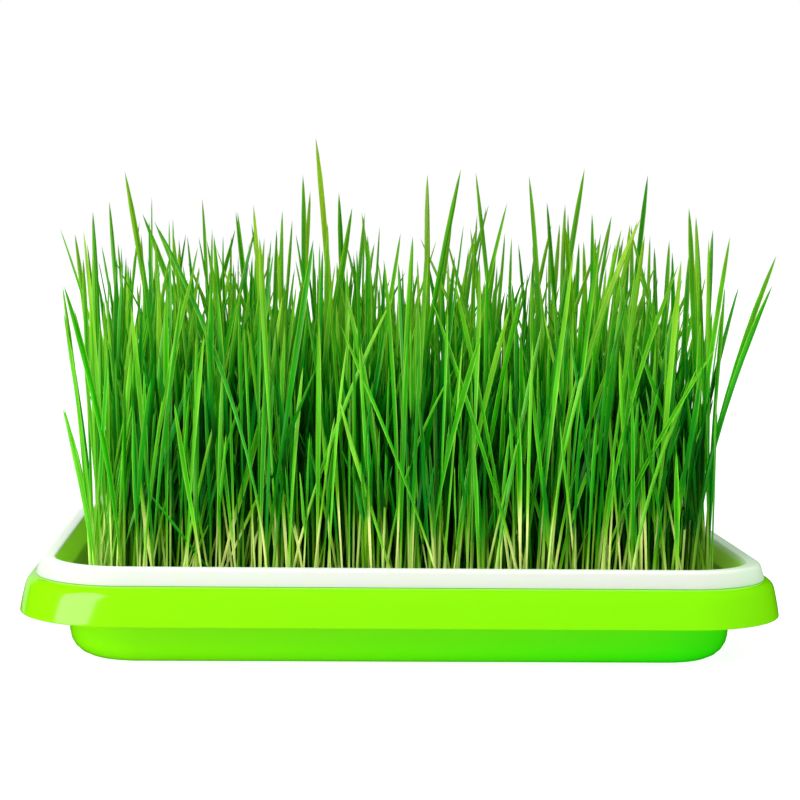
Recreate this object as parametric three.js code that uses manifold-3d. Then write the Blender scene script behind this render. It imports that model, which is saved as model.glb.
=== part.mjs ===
// Wheatgrass tray: a lime-green water tray with a turned-down skirt, a white mesh basket hung in it,
// a mat of sprouted seeds and roots in the basket, and bunches of wheatgrass shoots growing from the mat.
// Millimetres. X runs along the tray, Y across it and Z up from the surface that the tray stands on.
// The origin is the middle of the tray's flat bottom.

import * as THREE from 'three';
import { mergeVertices } from 'three/addons/utils/BufferGeometryUtils.js';
import Module from 'manifold-3d';

const wasm = await Module();
wasm.setup();
const { Manifold } = wasm;

// ---------------------------------------------------------------------------------------------------
// Driving dimensions
// ---------------------------------------------------------------------------------------------------

const TRAY_LENGTH = 340; // over the lower edge of the skirt
const TRAY_WIDTH = 250;
const SKIRT_CORNER = 47; // plan radius of the skirt's lower edge
const BOWL_CORNER = 53.5; // the bowl's plan radius, if it were carried out to the skirt's edge
const CORNER_STEPS = 6; // facets in each rounded corner

const TRAY_WALL = 1.8;
const SKIRT_BOTTOM = 20.5; // height of the skirt's lower edge
const SKIRT_TOP = 32.4; // height where the skirt starts to round over
const SKIRT_LEAN = 2.5; // how far the skirt leans in up to there
const FLANGE_TOP = 37.1;
const FLANGE_OUTER = 8; // inset of the flange's outer edge
const FLANGE_INNER = 16.2; // inset of the flange's inner edge
const BOWL_WALL = 20.5; // inset of the bowl's outside at the height of the skirt's edge
const BOWL_WALL_TOP = 16.5; // and just under the flange
const BOWL_ROUNDING = 12; // radius between the bowl's wall and its bottom
const BOWL_DRAFT = 0.8; // how far the wall draws in between the skirt's edge and the rounding

const RIM_TOP = 44.5; // top of the white basket and of the whole holder
const LIP_BOTTOM = 37.4; // the basket's turned-down lip stands just clear of the green flange
const LIP_OUTER = 7; // inset of the lip's lower edge
const RIM_INNER = 15.2; // inset of the rim's inner edge
const FUNNEL_FOOT = 20.8; // inset where the sloping shoulder meets the basket's wall
const BASKET_WALL = 1.6;
const BASKET_FLOOR = 12.5; // underside of the perforated floor
const SLOT_COLUMNS = 12;
const SLOT_ROWS = 6;
const SLOT_LENGTH = 16;
const SLOT_WIDTH = 3.2;

const WATER_LEVEL = 12.1;
const WATER_GAP = 0.4;

const MAT_BOTTOM = 14.5;
const MAT_TOP = 23.5;
const SEED_COUNT = 84;
const SEED_SIZE = [3.3, 1.6, 1.3]; // half length, half width and half height of a grain

const ROWS = 15; // rows of shoots across the tray
const ROW_PITCH = 13;
const BED_HALF = [131, 137, 141]; // half length of the first row, the second and all inner ones
const BUNCHES = ['left', 'middle', 'right']; // bunches in a row
const BUNCH_GAP = 3;
const SHOOTS_PER_BUNCH = 12;
const STRIP_WIDTH = 3.2; // strip of matted roots that joins the shoots of one bunch
const STRIP_BOTTOM = 18.5;
const STRIP_TOP = 24;
const STRIP_CLEARANCE = 0.3; // between a strip and its slot in the mat
const STRIP_SHIFT = 1.4; // most that a strip lies off its row's line
const STRIP_TURN = 0.04; // most that it is turned, radians

const ROOT_DEPTH = 3; // how far a shoot is sunk in its strip
const TIP_MEAN = 152;
const TIP_SPREAD = 24;
const TIP_LOW = 88;
const TIP_HIGH = 206;
const SHOOT_STEPS = [0, 0.42, 0.76, 1]; // where along its height a shoot has a section
const SHOOT_WIDTHS = [0.5, 0.92, 0.84, 0]; // width there, as a share of the widest
const SHOOT_DEPTHS = [1.2, 1, 0.8, 0]; // thickness there
const SHOOT_CLEARANCE = 0.5; // between two shoots
const SLICE = 2; // height step of the clearance test
const TRIES = 14; // draws for a shoot before its place is left empty
const REACH_X = 166; // shoots stay inside these half sizes
const REACH_Y = 121;

// The tall shoots that stand out of the sward: row, base x, tip x, tip z and curve.
const TALL_SHOOTS = [
  [5, -26, -41, 233, 1.6],
  [4, -99, -129, 216, 1.2],
  [3, -135, -142, 197, 1.5],
  [1, -131, -143, 188, 1.5],
  [5, -138, -153, 187, 1.5],
  [0, -124, -150, 164, 1.7],
  [2, -138, -152, 151, 1.7],
  [6, -81, -122, 197, 1.8],
  [3, -66, -114, 193, 1.7],
  [8, -55, -56, 200, 1.5],
  [6, -62, -78, 199, 1.5],
  [2, -60, -69, 201, 1.5],
  [3, -44, -47, 215, 1.4],
  [6, -50, -43, 209, 1.5],
  [7, -22, -29, 209, 1.5],
  [4, -41, -24, 201, 1.6],
  [5, 15, 11, 217, 1.4],
  [3, -1, 25, 219, 1.5],
  [6, 54, 35, 219, 1.4],
  [4, 72, 58, 217, 1.4],
  [8, 90, 85, 201, 1.4],
  [6, 67, 88, 222, 1.5],
  [3, 89, 86, 200, 1.4],
  [4, 84, 108, 197, 1.7],
  [7, 106, 121, 220, 1.3],
  [2, 136, 127, 203, 1.5],
  [3, 138, 134, 194, 1.5],
  [1, 134, 135, 193, 1.4],
  [4, 138, 150, 168, 1.6],
  [1, 130, 163, 182, 1.9],
  [0, 128, 161, 169, 1.9],
];

// ---------------------------------------------------------------------------------------------------
// Helpers
// ---------------------------------------------------------------------------------------------------

// A solid from a list of points and a list of triangles.
function solidFrom(points, triangles) {
  return new Manifold(
    new wasm.Mesh({
      numProp: 3,
      vertProperties: new Float32Array(points.flat()),
      triVerts: new Uint32Array(triangles.flat()),
    }),
  );
}

// A solid from a closed three.js geometry.
function solidOf(geometry) {
  const bare = geometry.clone();
  bare.deleteAttribute('normal');
  bare.deleteAttribute('uv');
  const merged = mergeVertices(bare);
  return new Manifold(
    new wasm.Mesh({
      numProp: 3,
      vertProperties: new Float32Array(merged.attributes.position.array),
      triVerts: new Uint32Array(merged.index.array),
    }),
  );
}

// A named three.js mesh from a solid.
function meshOf(name, solid, look) {
  const { vertProperties, triVerts } = solid.getMesh();
  const geometry = new THREE.BufferGeometry();
  geometry.setAttribute('position', new THREE.BufferAttribute(vertProperties, 3));
  geometry.setIndex(new THREE.BufferAttribute(triVerts, 1));
  geometry.computeVertexNormals();
  const mesh = new THREE.Mesh(geometry, new THREE.MeshStandardMaterial({ metalness: 0, ...look }));
  mesh.name = name;
  return mesh;
}

// Points of a rounded rectangle inside the skirt's lower edge, counter-clockwise from the +X side.
function ringPoints(inset, z, corner) {
  const middleX = TRAY_LENGTH / 2 - inset - corner;
  const middleY = TRAY_WIDTH / 2 - inset - corner;
  const points = [];
  for (let quarter = 0; quarter < 4; quarter += 1) {
    const signX = quarter === 0 || quarter === 3 ? 1 : -1;
    const signY = quarter < 2 ? 1 : -1;
    for (let step = 0; step <= CORNER_STEPS; step += 1) {
      const angle = ((quarter + step / CORNER_STEPS) * Math.PI) / 2;
      points.push([
        signX * middleX + corner * Math.cos(angle),
        signY * middleY + corner * Math.sin(angle),
        z,
      ]);
    }
  }
  return points;
}

const rimRing = ([inset, z]) => ringPoints(inset, z, SKIRT_CORNER - inset);
const bowlRing = ([inset, z]) => ringPoints(inset, z, BOWL_CORNER - inset);

// A solid from rings that run up the outside, over the top and down the inside, closed at both ends.
function ringSolid(rings) {
  const count = rings[0].length;
  const points = rings.flat();
  const triangles = [];
  for (let ring = 0; ring < rings.length - 1; ring += 1) {
    for (let i = 0; i < count; i += 1) {
      const a = ring * count + i;
      const b = ring * count + ((i + 1) % count);
      triangles.push([a, b, b + count], [a, b + count, a + count]);
    }
  }
  const last = (rings.length - 1) * count;
  const low = points.length;
  points.push([0, 0, rings[0][0][2]]);
  points.push([0, 0, rings[rings.length - 1][0][2]]);
  for (let i = 0; i < count; i += 1) {
    const next = (i + 1) % count;
    triangles.push([low, next, i], [low + 1, last + i, last + next]);
  }
  return solidFrom(points, triangles);
}

// Section points of a quarter round between a wall and a bottom, from the bottom up.
function bottomRounding(inset, z, radius, steps) {
  const section = [];
  for (let step = steps; step >= 0; step -= 1) {
    const angle = ((step / steps) * Math.PI) / 2;
    section.push([inset - radius * Math.cos(angle), z - radius * Math.sin(angle)]);
  }
  return section;
}

// Seeded random numbers from 0 to 1.
function seededRandom(seed) {
  let state = seed;
  return () => {
    state = (Math.imul(state, 1664525) + 1013904223) >>> 0;
    return state / 4294967296;
  };
}

// ---------------------------------------------------------------------------------------------------
// Holder: water tray, mesh basket and water
// ---------------------------------------------------------------------------------------------------

const ROUNDING_INSET = BOWL_WALL + BOWL_DRAFT + BOWL_ROUNDING;

function waterTray() {
  const outside = [
    ...bottomRounding(ROUNDING_INSET, BOWL_ROUNDING, BOWL_ROUNDING, 4),
    [BOWL_WALL, SKIRT_BOTTOM],
    [BOWL_WALL_TOP, FLANGE_TOP - TRAY_WALL - 0.3],
    [BOWL_WALL_TOP - 1.5, FLANGE_TOP - TRAY_WALL],
  ];
  const shoulder = new THREE.QuadraticBezierCurve(
    new THREE.Vector2(SKIRT_LEAN, SKIRT_TOP),
    new THREE.Vector2(SKIRT_LEAN + 1, FLANGE_TOP),
    new THREE.Vector2(FLANGE_OUTER, FLANGE_TOP),
  );
  const skirt = [
    [FLANGE_OUTER, FLANGE_TOP - TRAY_WALL],
    [SKIRT_LEAN + 2.9, FLANGE_TOP - TRAY_WALL - 1],
    [SKIRT_LEAN + TRAY_WALL, SKIRT_TOP - 0.4],
    [TRAY_WALL, SKIRT_BOTTOM],
    [0, SKIRT_BOTTOM],
    ...shoulder.getPoints(4).map((point) => [point.x, point.y]),
  ];
  const flangeEdge = [[FLANGE_INNER, FLANGE_TOP]];
  const inside = [
    [FLANGE_INNER + 1.4, FLANGE_TOP - 0.6],
    [BOWL_WALL_TOP + TRAY_WALL, FLANGE_TOP - 2.1],
    [BOWL_WALL + TRAY_WALL, SKIRT_BOTTOM],
    ...bottomRounding(ROUNDING_INSET, BOWL_ROUNDING, BOWL_ROUNDING - TRAY_WALL, 4).reverse(),
  ];
  return ringSolid([
    ...outside.map(bowlRing),
    ...skirt.map(rimRing),
    ...[...flangeEdge, ...inside].map(bowlRing),
  ]);
}

function meshBasket() {
  const rimUnderside = RIM_TOP - BASKET_WALL;
  const outerWall = [
    [27.1, BASKET_FLOOR],
    [25, BASKET_FLOOR + 0.9],
    [24.1, BASKET_FLOOR + 3],
    [FUNNEL_FOOT - 1.3, 36],
  ];
  const rim = [
    [RIM_INNER - 0.9, rimUnderside],
    [LIP_OUTER + 3.7, rimUnderside],
    [LIP_OUTER + 2.9, rimUnderside - 0.8],
    [LIP_OUTER + 1.5, LIP_BOTTOM],
    [LIP_OUTER, LIP_BOTTOM],
    [LIP_OUTER + 1.6, RIM_TOP - 2.2],
    [LIP_OUTER + 2.3, RIM_TOP - 0.9],
    [LIP_OUTER + 3.6, RIM_TOP - 0.2],
    [LIP_OUTER + 5.2, RIM_TOP],
    [RIM_INNER - 1, RIM_TOP - 0.1],
    [RIM_INNER, RIM_TOP - 0.7],
  ];
  const innerWall = [
    [FUNNEL_FOOT, 37],
    [25.3, 16.4],
    [26.3, 14.7],
    [28.2, BASKET_FLOOR + BASKET_WALL],
  ];
  const shell = ringSolid([
    ...outerWall.map(bowlRing),
    ...rim.map(rimRing),
    ...innerWall.map(bowlRing),
  ]);
  const slots = [];
  const pitchX = (TRAY_LENGTH - 70) / SLOT_COLUMNS;
  const pitchY = (TRAY_WIDTH - 70) / SLOT_ROWS;
  for (let column = 0; column < SLOT_COLUMNS; column += 1) {
    for (let row = 0; row < SLOT_ROWS; row += 1) {
      const slot = new THREE.BoxGeometry(SLOT_LENGTH, SLOT_WIDTH, 4 * BASKET_WALL);
      slot.translate(
        (column - (SLOT_COLUMNS - 1) / 2) * pitchX,
        (row - (SLOT_ROWS - 1) / 2) * pitchY,
        BASKET_FLOOR,
      );
      slots.push(solidOf(slot));
    }
  }
  return shell.subtract(Manifold.union(slots));
}

function water() {
  const radius = BOWL_ROUNDING - TRAY_WALL - WATER_GAP;
  const side = bottomRounding(ROUNDING_INSET, BOWL_ROUNDING, radius, 3);
  const surface = [ROUNDING_INSET - radius, WATER_LEVEL];
  return ringSolid([...side, surface].map(bowlRing));
}

// ---------------------------------------------------------------------------------------------------
// Shoots, in bunches that are each joined by a strip of roots
// ---------------------------------------------------------------------------------------------------

// The strips of all the bunches: centre, half length and turn of each.
function rootStrips(random) {
  const strips = [];
  for (let row = 0; row < ROWS; row += 1) {
    const fromEdge = Math.min(row, ROWS - 1 - row);
    const half = BED_HALF[Math.min(fromEdge, BED_HALF.length - 1)];
    const pitch = (2 * half) / BUNCHES.length;
    BUNCHES.forEach((place, bunch) => {
      const free = fromEdge === 0 ? 0 : 1; // the outermost strips lie straight along the edge
      strips.push({
        name: `shoots_row_${String(row + 1).padStart(2, '0')}_${place}`,
        row,
        x: (bunch - (BUNCHES.length - 1) / 2) * pitch,
        y: (row - (ROWS - 1) / 2) * ROW_PITCH + free * STRIP_SHIFT * (2 * random() - 1),
        half: (pitch - BUNCH_GAP) / 2,
        turn: free * STRIP_TURN * (2 * random() - 1),
      });
    });
  }
  return strips;
}

// The point of a strip's middle line at a distance along it.
const onStrip = (strip, along) => [
  strip.x + along * Math.cos(strip.turn),
  strip.y + along * Math.sin(strip.turn),
];

// A number spread about 0 with a standard deviation of about 1.
const spread = (random) => 2 * (random() + random() + random() - 1.5);

const clamp = (value, low, high) => Math.min(Math.max(value, low), high);

// A shoot of the sward: it leans a little its own way, and outwards near the edges.
function drawShoot(random, x, y) {
  const tip = clamp(TIP_MEAN + TIP_SPREAD * spread(random), TIP_LOW, TIP_HIGH);
  const height = tip - STRIP_TOP;
  const way = 2 * Math.PI * random();
  const lean = height * (0.02 + 0.2 * random() ** 1.5);
  const outX = 9 * (x / BED_HALF[2]) ** 3;
  const outY = 7 * (y / ((ROW_PITCH * ROWS) / 2)) ** 3;
  return {
    x,
    y,
    height,
    leanX: clamp(x + lean * Math.cos(way) + outX, -REACH_X, REACH_X) - x,
    leanY: clamp(y + lean * Math.sin(way) + outY, -REACH_Y, REACH_Y) - y,
    curve: 1.1 + 0.9 * random(),
    width: 3.1 + 1.1 * random(),
    turn: Math.PI * random(),
    twist: 0.8 * spread(random),
  };
}

// A tall shoot, from its row of the table.
function tallShoot(random, x, y, [, , tipX, tipZ, curve]) {
  return {
    x,
    y,
    height: tipZ - STRIP_TOP,
    leanX: tipX - x,
    leanY: 4 * spread(random),
    curve,
    width: 3.7 + 0.5 * random(),
    turn: 0.5 * spread(random),
    twist: 0.3 * spread(random),
  };
}

// The sections of a shoot: middle, half-width vector and thickness.
function shootSections(shoot) {
  return SHOOT_STEPS.map((t, i) => {
    const angle = shoot.turn + shoot.twist * t;
    const half = (shoot.width * SHOOT_WIDTHS[i]) / 2;
    return {
      x: shoot.x + shoot.leanX * t ** shoot.curve,
      y: shoot.y + shoot.leanY * t ** shoot.curve,
      z: STRIP_TOP + shoot.height * t,
      acrossX: half * Math.cos(angle),
      acrossY: half * Math.sin(angle),
      depth: SHOOT_DEPTHS[i],
    };
  });
}

// The same, read off at every slice height, as far up as the shoot reaches.
function shootSlices(sections) {
  const slices = [];
  let upper = 1;
  for (let z = STRIP_TOP; z < sections[sections.length - 1].z; z += SLICE) {
    while (sections[upper].z < z) upper += 1;
    const low = sections[upper - 1];
    const high = sections[upper];
    const part = (z - low.z) / (high.z - low.z);
    const slice = {};
    for (const key of ['x', 'y', 'acrossX', 'acrossY', 'depth']) {
      slice[key] = low[key] + (high[key] - low[key]) * part;
    }
    slices.push(slice);
  }
  return slices;
}

// Least distance of a point from a slice's middle line.
function pointToSlice(x, y, slice) {
  const square = slice.acrossX ** 2 + slice.acrossY ** 2;
  const along = (x - slice.x) * slice.acrossX + (y - slice.y) * slice.acrossY;
  const share = clamp(along / Math.max(square, 1e-9), -1, 1);
  return Math.hypot(x - slice.x - share * slice.acrossX, y - slice.y - share * slice.acrossY);
}

// Whether two slices cross or come nearer than the clearance.
function slicesTouch(a, b) {
  const need = (a.depth + b.depth) / 2 + SHOOT_CLEARANCE;
  const middle = Math.hypot(a.x - b.x, a.y - b.y);
  const reach = Math.hypot(a.acrossX, a.acrossY) + Math.hypot(b.acrossX, b.acrossY);
  if (middle > need + reach) return false;
  const cross = a.acrossX * b.acrossY - a.acrossY * b.acrossX;
  if (Math.abs(cross) > 1e-9) {
    const onA = ((b.x - a.x) * b.acrossY - (b.y - a.y) * b.acrossX) / cross;
    const onB = ((b.x - a.x) * a.acrossY - (b.y - a.y) * a.acrossX) / cross;
    if (Math.abs(onA) <= 1 && Math.abs(onB) <= 1) return true;
  }
  return [-1, 1].some(
    (end) =>
      pointToSlice(a.x + end * a.acrossX, a.y + end * a.acrossY, b) < need ||
      pointToSlice(b.x + end * b.acrossX, b.y + end * b.acrossY, a) < need,
  );
}

// Adds a shoot to the sward if it stands clear of all the others.
function plant(sward, strip, shoot) {
  const slices = shootSlices(shootSections(shoot));
  const clear = sward.every((other) => {
    const shared = Math.min(slices.length, other.slices.length);
    for (let i = 0; i < shared; i += 1) {
      if (slicesTouch(slices[i], other.slices[i])) return false;
    }
    return true;
  });
  if (clear) sward.push({ strip, shoot, slices });
  return clear;
}

function growSward(random, strips) {
  const sward = [];
  for (const row of TALL_SHOOTS) {
    const strip = strips.find((one) => one.row === row[0] && Math.abs(row[1] - one.x) < one.half);
    const [x, y] = onStrip(strip, row[1] - strip.x);
    plant(sward, strip, tallShoot(random, x, y, row));
  }
  for (const strip of strips) {
    const pitch = (2 * strip.half - STRIP_WIDTH) / SHOOTS_PER_BUNCH;
    for (let place = 0; place < SHOOTS_PER_BUNCH; place += 1) {
      const middle = (place - (SHOOTS_PER_BUNCH - 1) / 2) * pitch;
      for (let draw = 0; draw < TRIES; draw += 1) {
        const [x, y] = onStrip(strip, middle + pitch * (random() - 0.5) * 0.7);
        if (plant(sward, strip, drawShoot(random, x, y))) break;
      }
    }
  }
  return sward;
}

// Whether a point lies outside the plane of three others, which run counter-clockwise seen from outside.
function standsOut(point, [first, second, third]) {
  const [along, up, out] = [second, third, point].map((end) => {
    return new THREE.Vector3(...end).sub(new THREE.Vector3(...first));
  });
  return along.cross(up).dot(out) > 0;
}

// A shoot as a solid: a flat face and a keel, tapering to a point. A twisted wall between two sections is
// creased along the diagonal that makes it bulge, so that the face and the keel never cross.
function shootSolid(shoot) {
  const sections = shootSections(shoot);
  const root = { ...sections[0], z: STRIP_TOP - ROOT_DEPTH };
  const points = [];
  for (const { x, y, z, acrossX, acrossY, depth } of [root, ...sections.slice(0, -1)]) {
    const half = Math.hypot(acrossX, acrossY);
    const backX = (-acrossY / half) * depth;
    const backY = (acrossX / half) * depth;
    points.push([x - acrossX - backX / 3, y - acrossY - backY / 3, z]);
    points.push([x + acrossX - backX / 3, y + acrossY - backY / 3, z]);
    points.push([x + (2 * backX) / 3, y + (2 * backY) / 3, z]);
  }
  const tip = sections[sections.length - 1];
  points.push([tip.x, tip.y, tip.z]);
  const triangles = [[0, 2, 1]];
  const top = points.length - 1;
  for (let low = 0; low < top; low += 3) {
    for (let side = 0; side < 3; side += 1) {
      const a = low + side;
      const b = low + ((side + 1) % 3);
      const [c, d] = [b + 3, a + 3];
      if (low + 3 === top) triangles.push([a, b, top]);
      else if (standsOut(points[d], [points[a], points[b], points[c]])) triangles.push([a, b, d], [b, c, d]);
      else triangles.push([a, b, c], [a, c, d]);
    }
  }
  return solidFrom(points, triangles);
}

// A box along a strip, grown on all sides but its top by a clearance.
function stripBox(strip, grow, top) {
  const bottom = STRIP_BOTTOM - grow;
  const box = new THREE.BoxGeometry(2 * (strip.half + grow), STRIP_WIDTH + 2 * grow, top - bottom);
  box.rotateZ(strip.turn);
  box.translate(strip.x, strip.y, (top + bottom) / 2);
  return solidOf(box);
}

function shootBunch(strip, sward) {
  const own = sward.filter((planted) => planted.strip === strip);
  return Manifold.union([
    stripBox(strip, 0, STRIP_TOP),
    ...own.map(({ shoot }) => shootSolid(shoot)),
  ]);
}

// ---------------------------------------------------------------------------------------------------
// Seed mat, with a slot for each strip and grains half sunk in its surface
// ---------------------------------------------------------------------------------------------------

function stripDistance(strip, x, y) {
  const along = (x - strip.x) * Math.cos(strip.turn) + (y - strip.y) * Math.sin(strip.turn);
  const across = (y - strip.y) * Math.cos(strip.turn) - (x - strip.x) * Math.sin(strip.turn);
  const pastEnd = Math.max(Math.abs(along) - strip.half, 0);
  const pastSide = Math.max(Math.abs(across) - STRIP_WIDTH / 2, 0);
  return Math.hypot(pastEnd, pastSide);
}

function grains(random, strips) {
  const solids = [];
  const placed = [];
  const [length, width] = SEED_SIZE;
  while (placed.length < SEED_COUNT) {
    const x = 134 * (2 * random() - 1);
    const y = 92 * (2 * random() - 1);
    const turn = Math.PI * random();
    const apart = placed.every((other) => Math.hypot(x - other[0], y - other[1]) > 2 * length + 1);
    const [alongX, alongY] = [length * Math.cos(turn), length * Math.sin(turn)];
    const ends = [-1, 0, 1].map((end) => [x + end * alongX, y + end * alongY]);
    const off = strips.every((strip) => ends.every(([ex, ey]) => stripDistance(strip, ex, ey) > width + 0.3));
    if (apart && off) {
      placed.push([x, y]);
      const grain = new THREE.OctahedronGeometry(1, 0);
      grain.scale(...SEED_SIZE);
      grain.rotateZ(turn);
      grain.translate(x, y, MAT_TOP - 0.1);
      solids.push(solidOf(grain));
    }
  }
  return solids;
}

function seedMat(random, strips) {
  const block = ringSolid(
    [
      [28.7, MAT_BOTTOM],
      [26.9, MAT_BOTTOM + 0.6],
      [25.95, MAT_BOTTOM + 2.1],
      [24.6, MAT_TOP - 0.9],
      [25.6, MAT_TOP],
    ].map(bowlRing),
  );
  const slots = strips.map((strip) => stripBox(strip, STRIP_CLEARANCE, MAT_TOP + 5));
  return block.add(Manifold.union(grains(random, strips))).subtract(Manifold.union(slots));
}

// ---------------------------------------------------------------------------------------------------
// The part
// ---------------------------------------------------------------------------------------------------

const greenPlastic = { color: 0x7fe000, roughness: 0.25 };
const whitePlastic = { color: 0xf1f5ec, roughness: 0.35 };
const clearWater = { color: 0xcfe6ea, roughness: 0.05 };
const seedBrown = { color: 0xa98a55, roughness: 0.85 };
const grassGreen = { color: 0x4fae1e, roughness: 0.5 };

const part = new THREE.Group();
const strips = rootStrips(seededRandom(11));
const sward = growSward(seededRandom(31), strips);

part.add(meshOf('water_tray', waterTray(), greenPlastic));
part.add(meshOf('mesh_basket', meshBasket(), whitePlastic));
part.add(meshOf('water', water(), clearWater));
part.add(meshOf('seed_mat', seedMat(seededRandom(37), strips), seedBrown));
for (const strip of strips) {
  part.add(meshOf(strip.name, shootBunch(strip, sward), grassGreen));
}

export default part;
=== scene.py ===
"""A tray of wheatgrass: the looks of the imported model, in metres, in the model's own frame."""

import math

import bmesh
import bpy
import numpy as np
from mathutils import Matrix, Quaternion, Vector, noise as smooth_noise


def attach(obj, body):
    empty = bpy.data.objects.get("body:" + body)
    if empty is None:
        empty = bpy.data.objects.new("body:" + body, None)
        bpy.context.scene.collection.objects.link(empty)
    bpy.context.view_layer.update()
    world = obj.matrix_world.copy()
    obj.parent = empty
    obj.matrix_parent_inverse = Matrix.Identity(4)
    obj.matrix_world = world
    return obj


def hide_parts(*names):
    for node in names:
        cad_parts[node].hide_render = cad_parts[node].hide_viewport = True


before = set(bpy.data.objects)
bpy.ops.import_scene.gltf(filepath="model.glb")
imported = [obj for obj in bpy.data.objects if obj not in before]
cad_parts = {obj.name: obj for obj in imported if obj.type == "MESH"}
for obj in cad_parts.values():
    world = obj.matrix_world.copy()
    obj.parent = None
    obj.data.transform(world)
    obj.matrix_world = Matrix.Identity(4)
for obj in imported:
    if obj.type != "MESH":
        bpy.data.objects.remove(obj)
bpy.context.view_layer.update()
scene = bpy.context.scene
MM = 0.001

# ----------------------------------------------------------------------------------------------------
# Sizes, in millimetres, as the solids have them
# ----------------------------------------------------------------------------------------------------

TRAY_HALF = (170.0, 125.0)  # to the lower edge of the skirt
RIM_CORNER = 47.0  # plan radius at the skirt's edge; rims run concentric with it
BOWL_CORNER = 53.5  # the same for the bowl and the walls
SKIRT_BOTTOM = 20.5
CORNER_STEPS = 16

BASKET_WALL = 1.6
BASKET_FLOOR = 12.5  # underside of the slotted floor
FLOOR_HALF = (135.0, 90.0)  # the stretch of it that has slots
SLOT_COLUMNS = 12
SLOT_ROWS = 6
SLOT_LENGTH = 16.0
SLOT_WIDTH = 3.2

BUNCHES = ("left", "middle", "right")
ROWS = 15
ROW_PITCH = 13.0
MAT_BOTTOM = 14.5
MAT_TOP = 23.4
MAT_INSET = 25.2  # the mat's edge, inside the basket's wall
STRIP_TOP = 24.0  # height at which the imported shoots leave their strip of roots
RING_SHARES = (0.42, 0.76)  # where along its height a packed shoot has its two sections

# Leaves
LEAF_ROWS = 12  # sections along a leaf
LEAF_CLOSER = 1.35  # how much closer they stand towards the tip
TIP_LENGTH = 21.0  # over which a leaf narrows to its tip
BLADE_THICK = 0.36  # along the midrib
FILL_PITCH = 4.3  # distance between filling shoots along a line
FILL_LINES = (-4.3, 0.0, 4.3)  # lines of them in each row
FILL_CREST = (  # mean tip height along the tray
    (-141, 129), (-119, 136), (-97, 123), (-75, 123), (-54, 130), (-32, 124), (-10, 128), (12, 126),
    (33, 114), (55, 120), (77, 119), (98, 128), (120, 116), (142, 130),
)
FILL_TIP_SPREAD = 25.0
FILL_TIP_RANGE = (70.0, 196.0)
THIN_FROM = 112.0  # beyond this distance from the middle the filling thins out
THINNING = 0.6  # share of it that is missing at the ends
REACH = (164.0, 119.0)  # no leaf goes past this
BULK_LEFT = (-149.5, -0.098)  # the sward's sides at mid depth, and how they spread towards the back
BULK_RIGHT = (157.0, 0.22)
STEM_WIDTH = (0.9, 1.4)
SINK = 1.6  # how far a shoot starts below the mat's top
SECOND_LEAF_SHARE = 0.3
SECOND_LEAF_PALE_DROP = 20.0  # how much lower its pale foot ends
SOLID_WIDTH = 0.72  # width of a solid shoot's leaf, as a share of the solid's
STEADY = 0.5  # share of the sway that solid and lone leaves keep
TURNED_BACK = 0.6  # share of a lean that is left when it is turned back
TURN_MARGIN = 9.0  # from the sward's reach, where leans to front and back turn
WILD_SHARE = 0.2  # filling leaves that lean far over
TIP_POWER = 0.6  # below 1 the tip is blunter than a cone's
HALF_STEP = 0.02  # share of the length to each side that gives a leaf's direction
SWARD_SEED = 7

# Mat
MAT_CELL = 2.6
GRAINS = 1500
GRAIN_SIZE = (3.2, 1.5, 1.25)
ROOT_THREADS = 420
MAT_SEED = 3
HUMMOCKS = ((0.045, 0, 1.1), (0.21, 3, 0.7))  # closeness, level and height of the two sizes
MAT_EDGE_DROP = 0.8
GRAIN_CREASE = 0.12
GRAIN_LIFT = 0.3
THREAD_RADIUS = 0.22
THREAD_THICK = 0.12
THREAD_SINK = 0.5

# Painted light and shade on the two mouldings, and where they change
BOWL_INSET = 15.0  # the bowl's outside lies further in than this
# the bowl's outside takes painted shade up to this value; the rim's top takes a painted highlight
BOWL_TOP_TONE = 0.4
SKIRT_TONE = 0.5
RIM_TOP_HIGHLIGHT = 0.1
RIM_BEND = 43.6
RIM_INNER_EDGE = 15.1
LIP_END = 0.45  # share of the basket's section that its outside and lip take up
FUNNEL_TOP = 44.5
FUNNEL_DEEP = 27.0

# Painted shade and light inside the sward
SWARD_EDGE = (146.0, 95.0)
SHADE_DEPTH = 24.0
SUN_REACH = 58.0  # how far into the sward the light from the left reaches
SHADE = 0.86
SHADE_HEIGHTS = (80.0, 144.0)  # full shade below, none above
SUNNED_SHADE = 0.7  # share of the shade that the light from the left takes away
SUNNED_WARMTH = 0.28
WARMTH_MIDDLE = 128.0  # height at which a leaf has its own warmth
WARMTH_RISE = 0.0038  # gained with each millimetre above it
TIP_WARMTH = 0.05
LEAST_WARMTH = 0.22
PALE_FADE = 20.0  # height over which a pale foot turns green
OLIVE_HEIGHTS = (120.0, 190.0)  # between them the leaves turn olive

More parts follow.
